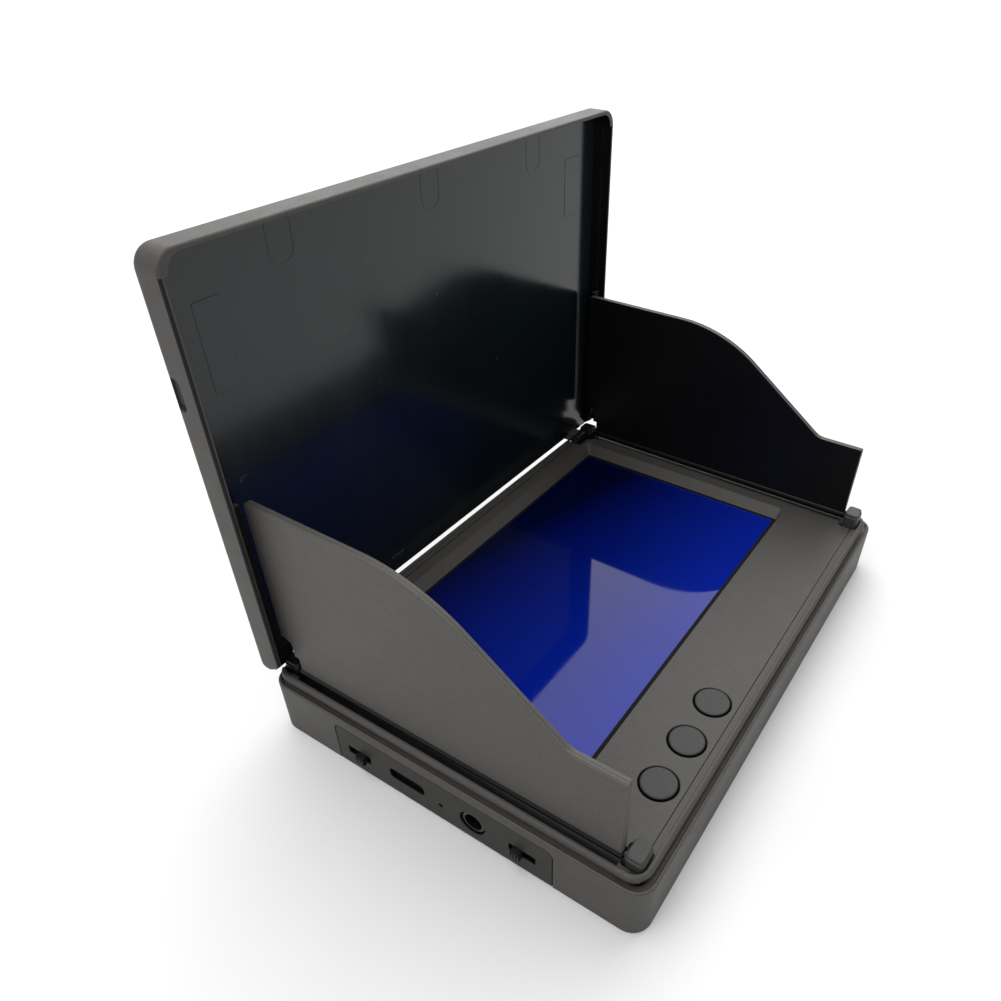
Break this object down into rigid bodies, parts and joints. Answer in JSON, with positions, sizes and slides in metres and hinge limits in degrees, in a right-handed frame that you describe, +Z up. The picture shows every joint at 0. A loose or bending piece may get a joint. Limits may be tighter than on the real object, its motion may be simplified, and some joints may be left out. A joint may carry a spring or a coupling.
{
  "type": "counterfeit bill detector",
  "caption": "Pocket banknote viewer: flat base with a blue screen, round buttons and side ports, under a folding hood of an upright lid and curved side wings.",
  "frame": {"origin": "centre of the base's flat underside", "axes": "+X along the lid hinge towards the user's right, +Y from the buttons to the lid hinge, +Z up"},
  "size_m": [0.1194, 0.0855, 0.0943],
  "materials": {
    "case_plastic": "fine matte texture, moulded ABS",
    "hinge_plastic": "fine matte texture, moulded",
    "liner_plastic": "polished black",
    "button_rubber": "smooth matte",
    "knob_plastic": "satin",
    "screen_film": "polished, lit deep blue",
    "display_panel": "polished",
    "backlight_metal": "satin",
    "circuit_board": "green solder mask",
    "component_plastic": "moulded",
    "cell_pouch": "satin foil pouch",
    "socket_steel": "tinned",
    "pin_steel": "satin",
    "lamp_resin": "clear resin",
    "filter_glass": "polished, near-black filter"
  },
  "bodies": {
    "base": {"bottom_shell": "case_plastic", "top_bezel": "case_plastic", "port_plate": "case_plastic", "front_hinge_cap_left": "hinge_plastic", "front_hinge_cap_right": "hinge_plastic", "back_hinge_cap_left": "hinge_plastic", "back_hinge_cap_right": "hinge_plastic", "screen_glass": "screen_film", "lcd_panel": "display_panel", "backlight_tray": "backlight_metal", "main_board": "circuit_board", "sensor_board": "circuit_board", "tact_switch_left": "component_plastic", "tact_switch_middle": "component_plastic", "tact_switch_right": "component_plastic", "slide_switch_back": "component_plastic", "slide_switch_front": "component_plastic", "av_jack": "component_plastic", "camera_module": "component_plastic", "battery": "cell_pouch", "usb_socket": "socket_steel", "left_wing_pin": "pin_steel", "right_wing_pin": "pin_steel", "lid_pin_left": "pin_steel", "lid_pin_right": "pin_steel", "case_screw_front_left": "pin_steel", "case_screw_front_right": "pin_steel", "case_screw_back_left": "pin_steel", "case_screw_back_right": "pin_steel", "charge_lamp": "lamp_resin", "infrared_lamp_left": "lamp_resin", "infrared_lamp_right": "lamp_resin", "sensor_window": "filter_glass"},
    "button_left": {"button_left": "button_rubber"},
    "button_middle": {"button_middle": "button_rubber"},
    "button_right": {"button_right": "button_rubber"},
    "slider_knob_back": {"slider_knob_back": "knob_plastic"},
    "slider_knob_front": {"slider_knob_front": "knob_plastic"},
    "left_wing": {"left_wing": "case_plastic"},
    "right_wing": {"right_wing": "case_plastic"},
    "lid": {"lid_shell": "case_plastic", "lid_liner": "liner_plastic"}
  },
  "joints": [
    {"name": "button_left_press", "type": "slide", "parent": "base", "child": "button_left", "axis": [0, 0, -1], "range_m": [0, 0.0005], "stiffness_N_per_m": 400},
    {"name": "button_middle_press", "type": "slide", "parent": "base", "child": "button_middle", "axis": [0, 0, -1], "range_m": [0, 0.0005], "stiffness_N_per_m": 400},
    {"name": "button_right_press", "type": "slide", "parent": "base", "child": "button_right", "axis": [0, 0, -1], "range_m": [0, 0.0005], "stiffness_N_per_m": 400},
    {"name": "slider_back_slide", "type": "slide", "parent": "base", "child": "slider_knob_back", "axis": [0, 1, 0], "range_m": [0, 0.0024]},
    {"name": "slider_front_slide", "type": "slide", "parent": "base", "child": "slider_knob_front", "axis": [0, -1, 0], "range_m": [0, 0.0024]},
    {"name": "left_wing_fold", "type": "hinge", "parent": "base", "child": "left_wing", "pos_m": [-0.0549, 0, 0.0149], "axis": [0, 1, 0], "range_deg": [0, 90]},
    {"name": "right_wing_fold", "type": "hinge", "parent": "base", "child": "right_wing", "pos_m": [0.0549, 0, 0.0149], "axis": [0, -1, 0], "range_deg": [0, 90]},
    {"name": "lid_hinge", "type": "hinge", "parent": "base", "child": "lid", "pos_m": [0, 0.0387, 0.0144], "axis": [1, 0, 0], "range_deg": [0, 3]}
  ]
}
